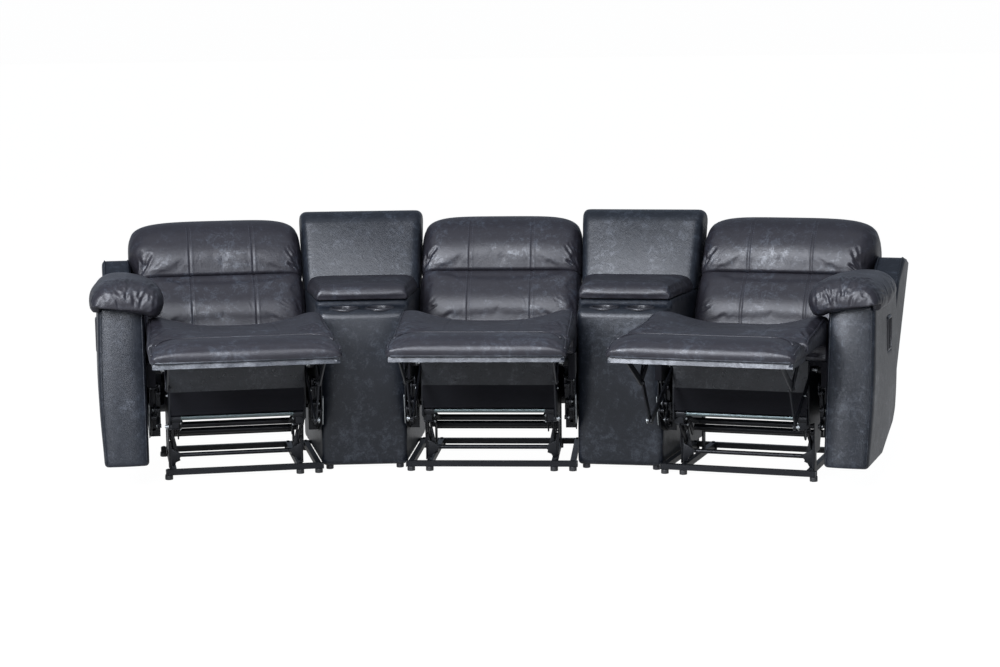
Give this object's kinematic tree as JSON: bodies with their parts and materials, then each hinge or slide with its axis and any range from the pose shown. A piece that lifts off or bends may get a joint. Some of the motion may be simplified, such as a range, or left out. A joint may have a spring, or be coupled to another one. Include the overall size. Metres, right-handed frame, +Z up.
{
  "type": "curved three-seat reclining sofa",
  "caption": "Curved row of reclining seats in black leather with wedge consoles between them, footrests out and backs reclined on steel mechanisms.",
  "frame": {"origin": "centre of the bounding box at floor level", "axes": "+X along the row to the viewer's right, -Y to the front where the footrests point, +Z up"},
  "size_m": [3.1026, 1.6834, 0.898],
  "materials": {
    "seat_leather": "soft black leather with a brown cast",
    "body_leather": "black leather with a blue-grey sheen and faint mottling",
    "board_leather": "glossy black leather wrap",
    "frame_cloth": "timber under black lining",
    "steel": "gloss black paint on steel",
    "black_plastic": "black plastic"
  },
  "bodies": {
    "root": {"left_base_frame": "steel", "middle_base_frame": "steel", "right_base_frame": "steel", "left_console_body": "body_leather", "left_console_cup_tray": "black_plastic", "left_console_back_panel": "body_leather", "right_console_body": "body_leather", "right_console_cup_tray": "black_plastic", "right_console_back_panel": "body_leather"},
    "left_carriage": {"left_left_mechanism_plate": "steel", "left_right_mechanism_plate": "steel", "left_torque_tube": "steel", "left_seat_box": "frame_cloth", "left_seat_cushion": "seat_leather", "left_arm": "body_leather", "left_arm_pad": "seat_leather"},
    "left_back": {"left_back_frame": "body_leather", "left_lumbar_cushion": "seat_leather", "left_head_cushion": "seat_leather"},
    "left_footrest": {"left_footrest_board": "board_leather", "left_footrest_pad": "seat_leather"},
    "left_drive_links": {"left_left_drive_link": "steel", "left_right_drive_link": "steel"},
    "left_ottoman_links": {"left_left_ottoman_link": "steel", "left_right_ottoman_link": "steel"},
    "left_lever": {"left_release_lever": "black_plastic"},
    "middle_carriage": {"middle_left_mechanism_plate": "steel", "middle_right_mechanism_plate": "steel", "middle_torque_tube": "steel", "middle_seat_box": "frame_cloth", "middle_seat_cushion": "seat_leather"},
    "middle_back": {"middle_back_frame": "body_leather", "middle_lumbar_cushion": "seat_leather", "middle_head_cushion": "seat_leather"},
    "middle_footrest": {"middle_footrest_board": "board_leather", "middle_footrest_pad": "seat_leather"},
    "middle_drive_links": {"middle_left_drive_link": "steel", "middle_right_drive_link": "steel"},
    "middle_ottoman_links": {"middle_left_ottoman_link": "steel", "middle_right_ottoman_link": "steel"},
    "right_carriage": {"right_left_mechanism_plate": "steel", "right_right_mechanism_plate": "steel", "right_torque_tube": "steel", "right_seat_box": "frame_cloth", "right_seat_cushion": "seat_leather", "right_arm": "body_leather", "right_arm_pad": "seat_leather"},
    "right_back": {"right_back_frame": "body_leather", "right_lumbar_cushion": "seat_leather", "right_head_cushion": "seat_leather"},
    "right_footrest": {"right_footrest_board": "board_leather", "right_footrest_pad": "seat_leather"},
    "right_drive_links": {"right_left_drive_link": "steel", "right_right_drive_link": "steel"},
    "right_ottoman_links": {"right_left_ottoman_link": "steel", "right_right_ottoman_link": "steel"},
    "right_lever": {"right_release_lever": "black_plastic"},
    "left_lid": {"left_console_lid": "body_leather"},
    "right_lid": {"right_console_lid": "body_leather"}
  },
  "joints": [
    {"name": "left_glide", "type": "slide", "parent": "root", "child": "left_carriage", "axis": [-0.2568, 0.9665, 0], "range_m": [0, 0.1]},
    {"name": "left_recline", "type": "hinge", "parent": "left_carriage", "child": "left_back", "pos_m": [-1.01563, 0.24721, 0.3], "axis": [0.9665, 0.2568, 0], "range_deg": [0, 35]},
    {"name": "left_footrest_fold", "type": "hinge", "parent": "left_carriage", "child": "left_footrest", "pos_m": [-0.87567, -0.27952, 0.55], "axis": [0.9665, 0.2568, 0], "range_deg": [0, 80]},
    {"name": "left_drive_link_turn", "type": "hinge", "parent": "left_carriage", "child": "left_drive_links", "pos_m": [-0.90007, -0.1877, 0.405], "axis": [0.9665, 0.2568, 0], "range_deg": [0, 80]},
    {"name": "left_ottoman_link_turn", "type": "hinge", "parent": "left_drive_links", "child": "left_ottoman_links", "pos_m": [-0.82046, -0.48731, 0.255], "axis": [0.9665, 0.2568, 0], "range_deg": [-80, 0]},
    {"name": "left_release_pull", "type": "hinge", "parent": "left_carriage", "child": "left_lever", "pos_m": [-1.37791, -0.14674, 0.517], "axis": [0, 0, 1], "range_deg": [0, 20], "stiffness_Nm_per_rad": 0.6},
    {"name": "middle_glide", "type": "slide", "parent": "root", "child": "middle_carriage", "axis": [0, 1, 0], "range_m": [0, 0.1]},
    {"name": "middle_recline", "type": "hinge", "parent": "middle_carriage", "child": "middle_back", "pos_m": [0, 0.37983, 0.3], "axis": [1, 0, 0], "range_deg": [0, 35]},
    {"name": "middle_footrest_fold", "type": "hinge", "parent": "middle_carriage", "child": "middle_footrest", "pos_m": [0, -0.16517, 0.55], "axis": [1, 0, 0], "range_deg": [0, 80]},
    {"name": "middle_drive_link_turn", "type": "hinge", "parent": "middle_carriage", "child": "middle_drive_links", "pos_m": [0, -0.07017, 0.405], "axis": [1, 0, 0], "range_deg": [0, 80]},
    {"name": "middle_ottoman_link_turn", "type": "hinge", "parent": "middle_drive_links", "child": "middle_ottoman_links", "pos_m": [0, -0.38017, 0.255], "axis": [1, 0, 0], "range_deg": [-80, 0]},
    {"name": "right_glide", "type": "slide", "parent": "root", "child": "right_carriage", "axis": [0.2568, 0.9665, 0], "range_m": [0, 0.1]},
    {"name": "right_recline", "type": "hinge", "parent": "right_carriage", "child": "right_back", "pos_m": [1.01563, 0.24721, 0.3], "axis": [0.9665, -0.2568, 0], "range_deg": [0, 35]},
    {"name": "right_footrest_fold", "type": "hinge", "parent": "right_carriage", "child": "right_footrest", "pos_m": [0.87567, -0.27952, 0.55], "axis": [0.9665, -0.2568, 0], "range_deg": [0, 80]},
    {"name": "right_drive_link_turn", "type": "hinge", "parent": "right_carriage", "child": "right_drive_links", "pos_m": [0.90007, -0.1877, 0.405], "axis": [0.9665, -0.2568, 0], "range_deg": [0, 80]},
    {"name": "right_ottoman_link_turn", "type": "hinge", "parent": "right_drive_links", "child": "right_ottoman_links", "pos_m": [0.82046, -0.48731, 0.255], "axis": [0.9665, -0.2568, 0], "range_deg": [-80, 0]},
    {"name": "right_release_pull", "type": "hinge", "parent": "right_carriage", "child": "right_lever", "pos_m": [1.37791, -0.14674, 0.517], "axis": [0, 0, -1], "range_deg": [0, 20], "stiffness_Nm_per_rad": 0.6},
    {"name": "left_lid_hinge", "type": "hinge", "parent": "root", "child": "left_lid", "pos_m": [-0.52572, 0.45065, 0.6603], "axis": [-0.9916, -0.1295, 0], "range_deg": [0, 80]},
    {"name": "right_lid_hinge", "type": "hinge", "parent": "root", "child": "right_lid", "pos_m": [0.52572, 0.45065, 0.6603], "axis": [-0.9916, 0.1295, 0], "range_deg": [0, 80]}
  ],
  "couplings": [
    {"joint": "left_recline", "follows": "left_glide", "rad_per_m": 6.108},
    {"joint": "left_drive_link_turn", "follows": "left_footrest_fold", "ratio": 1},
    {"joint": "left_ottoman_link_turn", "follows": "left_footrest_fold", "ratio": -1},
    {"joint": "middle_recline", "follows": "middle_glide", "rad_per_m": 6.108},
    {"joint": "middle_drive_link_turn", "follows": "middle_footrest_fold", "ratio": 1},
    {"joint": "middle_ottoman_link_turn", "follows": "middle_footrest_fold", "ratio": -1},
    {"joint": "right_recline", "follows": "right_glide", "rad_per_m": 6.108},
    {"joint": "right_drive_link_turn", "follows": "right_footrest_fold", "ratio": 1},
    {"joint": "right_ottoman_link_turn", "follows": "right_footrest_fold", "ratio": -1}
  ]
}
